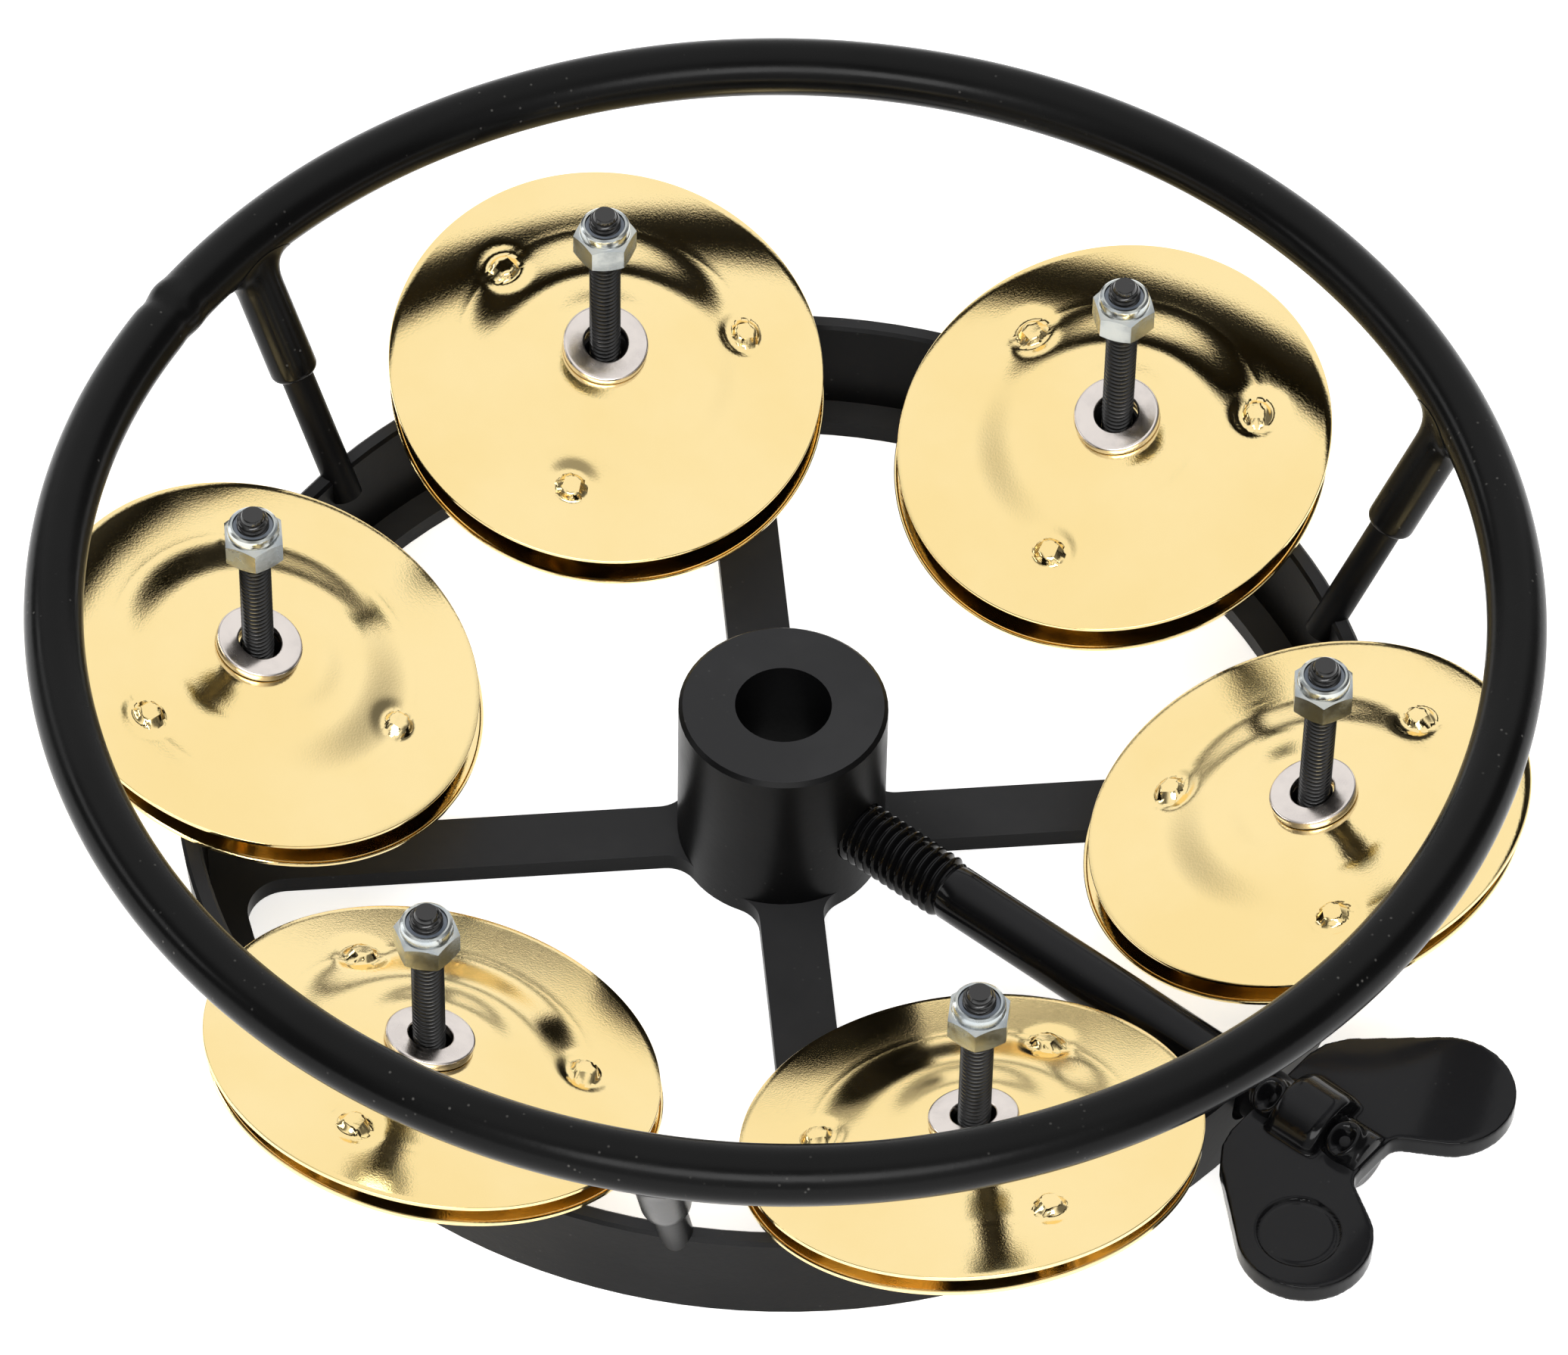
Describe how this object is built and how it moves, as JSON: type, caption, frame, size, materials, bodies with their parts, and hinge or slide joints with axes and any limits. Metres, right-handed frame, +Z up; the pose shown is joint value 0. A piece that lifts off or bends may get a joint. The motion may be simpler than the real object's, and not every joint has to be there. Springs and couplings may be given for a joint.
{
  "type": "hi-hat tambourine",
  "caption": "Round headless tambourine that clamps on a cymbal stand's rod: a cast spoked frame, loose domed jingle pairs on upright screws and a coated guard ring.",
  "frame": {"origin": "on the axis of the hub bore, in the plane of the cast frame's underside", "axes": "+Z up along the hub bore, +X out along the clamp screw, +Y completes the right-handed set"},
  "size_m": [0.1945, 0.1856, 0.0504],
  "materials": {
    "frame_coat": "black satin powder coat on cast metal",
    "steel": "plain drawn steel rod, hidden in the coat",
    "guard_skin": "dipped soft black plastic, semi-gloss",
    "insert_plastic": "translucent nylon locking ring",
    "clamp_coat": "glossy black electrocoat",
    "screw_black": "black oxide steel",
    "nut_zinc": "bright zinc plate",
    "spacer_nylon": "plain black plastic tube",
    "brass": "bright lacquered sheet brass",
    "washer_nickel": "nickel plate"
  },
  "bodies": {
    "frame": {"base_frame": "frame_coat", "guard_ring_rod": "steel", "guard_post_1": "frame_coat", "guard_post_2": "frame_coat", "guard_post_3": "frame_coat", "guard_coat": "guard_skin", "jingle_screw_1": "screw_black", "jingle_screw_2": "screw_black", "jingle_screw_3": "screw_black", "jingle_screw_4": "screw_black", "jingle_screw_5": "screw_black", "jingle_screw_6": "screw_black", "lock_nut_1": "nut_zinc", "lock_nut_2": "nut_zinc", "lock_nut_3": "nut_zinc", "lock_nut_4": "nut_zinc", "lock_nut_5": "nut_zinc", "lock_nut_6": "nut_zinc", "lock_nut_inserts": "insert_plastic"},
    "lower_jingle_1": {"lower_jingle_1": "brass"},
    "spacer_1": {"jingle_spacer_1": "spacer_nylon"},
    "upper_jingle_1": {"upper_jingle_1": "brass"},
    "washer_1": {"top_washer_1": "washer_nickel"},
    "lower_jingle_2": {"lower_jingle_2": "brass"},
    "spacer_2": {"jingle_spacer_2": "spacer_nylon"},
    "upper_jingle_2": {"upper_jingle_2": "brass"},
    "washer_2": {"top_washer_2": "washer_nickel"},
    "lower_jingle_3": {"lower_jingle_3": "brass"},
    "spacer_3": {"jingle_spacer_3": "spacer_nylon"},
    "upper_jingle_3": {"upper_jingle_3": "brass"},
    "washer_3": {"top_washer_3": "washer_nickel"},
    "lower_jingle_4": {"lower_jingle_4": "brass"},
    "spacer_4": {"jingle_spacer_4": "spacer_nylon"},
    "upper_jingle_4": {"upper_jingle_4": "brass"},
    "washer_4": {"top_washer_4": "washer_nickel"},
    "lower_jingle_5": {"lower_jingle_5": "brass"},
    "spacer_5": {"jingle_spacer_5": "spacer_nylon"},
    "upper_jingle_5": {"upper_jingle_5": "brass"},
    "washer_5": {"top_washer_5": "washer_nickel"},
    "lower_jingle_6": {"lower_jingle_6": "brass"},
    "spacer_6": {"jingle_spacer_6": "spacer_nylon"},
    "upper_jingle_6": {"upper_jingle_6": "brass"},
    "washer_6": {"top_washer_6": "washer_nickel"},
    "clamp_screw": {"clamp_bolt": "clamp_coat", "wing_head": "clamp_coat"}
  },
  "joints": [
    {"name": "lower_jingle_1_rattle", "type": "slide", "parent": "frame", "child": "lower_jingle_1", "axis": [0, 0, 1], "range_m": [0, 0.006]},
    {"name": "spacer_1_rattle", "type": "slide", "parent": "lower_jingle_1", "child": "spacer_1", "axis": [0, 0, 1], "range_m": [0, 0.001]},
    {"name": "upper_jingle_1_rattle", "type": "slide", "parent": "spacer_1", "child": "upper_jingle_1", "axis": [0, 0, 1], "range_m": [0, 0.005]},
    {"name": "washer_1_rattle", "type": "slide", "parent": "upper_jingle_1", "child": "washer_1", "axis": [0, 0, 1], "range_m": [0, 0.003]},
    {"name": "lower_jingle_2_rattle", "type": "slide", "parent": "frame", "child": "lower_jingle_2", "axis": [0, 0, 1], "range_m": [0, 0.006]},
    {"name": "spacer_2_rattle", "type": "slide", "parent": "lower_jingle_2", "child": "spacer_2", "axis": [0, 0, 1], "range_m": [0, 0.001]},
    {"name": "upper_jingle_2_rattle", "type": "slide", "parent": "spacer_2", "child": "upper_jingle_2", "axis": [0, 0, 1], "range_m": [0, 0.005]},
    {"name": "washer_2_rattle", "type": "slide", "parent": "upper_jingle_2", "child": "washer_2", "axis": [0, 0, 1], "range_m": [0, 0.003]},
    {"name": "lower_jingle_3_rattle", "type": "slide", "parent": "frame", "child": "lower_jingle_3", "axis": [0, 0, 1], "range_m": [0, 0.006]},
    {"name": "spacer_3_rattle", "type": "slide", "parent": "lower_jingle_3", "child": "spacer_3", "axis": [0, 0, 1], "range_m": [0, 0.001]},
    {"name": "upper_jingle_3_rattle", "type": "slide", "parent": "spacer_3", "child": "upper_jingle_3", "axis": [0, 0, 1], "range_m": [0, 0.005]},
    {"name": "washer_3_rattle", "type": "slide", "parent": "upper_jingle_3", "child": "washer_3", "axis": [0, 0, 1], "range_m": [0, 0.003]},
    {"name": "lower_jingle_4_rattle", "type": "slide", "parent": "frame", "child": "lower_jingle_4", "axis": [0, 0, 1], "range_m": [0, 0.006]},
    {"name": "spacer_4_rattle", "type": "slide", "parent": "lower_jingle_4", "child": "spacer_4", "axis": [0, 0, 1], "range_m": [0, 0.001]},
    {"name": "upper_jingle_4_rattle", "type": "slide", "parent": "spacer_4", "child": "upper_jingle_4", "axis": [0, 0, 1], "range_m": [0, 0.005]},
    {"name": "washer_4_rattle", "type": "slide", "parent": "upper_jingle_4", "child": "washer_4", "axis": [0, 0, 1], "range_m": [0, 0.003]},
    {"name": "lower_jingle_5_rattle", "type": "slide", "parent": "frame", "child": "lower_jingle_5", "axis": [0, 0, 1], "range_m": [0, 0.006]},
    {"name": "spacer_5_rattle", "type": "slide", "parent": "lower_jingle_5", "child": "spacer_5", "axis": [0, 0, 1], "range_m": [0, 0.001]},
    {"name": "upper_jingle_5_rattle", "type": "slide", "parent": "spacer_5", "child": "upper_jingle_5", "axis": [0, 0, 1], "range_m": [0, 0.005]},
    {"name": "washer_5_rattle", "type": "slide", "parent": "upper_jingle_5", "child": "washer_5", "axis": [0, 0, 1], "range_m": [0, 0.003]},
    {"name": "lower_jingle_6_rattle", "type": "slide", "parent": "frame", "child": "lower_jingle_6", "axis": [0, 0, 1], "range_m": [0, 0.006]},
    {"name": "spacer_6_rattle", "type": "slide", "parent": "lower_jingle_6", "child": "spacer_6", "axis": [0, 0, 1], "range_m": [0, 0.001]},
    {"name": "upper_jingle_6_rattle", "type": "slide", "parent": "spacer_6", "child": "upper_jingle_6", "axis": [0, 0, 1], "range_m": [0, 0.005]},
    {"name": "washer_6_rattle", "type": "slide", "parent": "upper_jingle_6", "child": "washer_6", "axis": [0, 0, 1], "range_m": [0, 0.003]},
    {"name": "clamp_screw_turn", "type": "hinge", "parent": "frame", "child": "clamp_screw", "pos_m": [0, 0, 0.011], "axis": [1, 0, 0], "continuous": true}
  ]
}
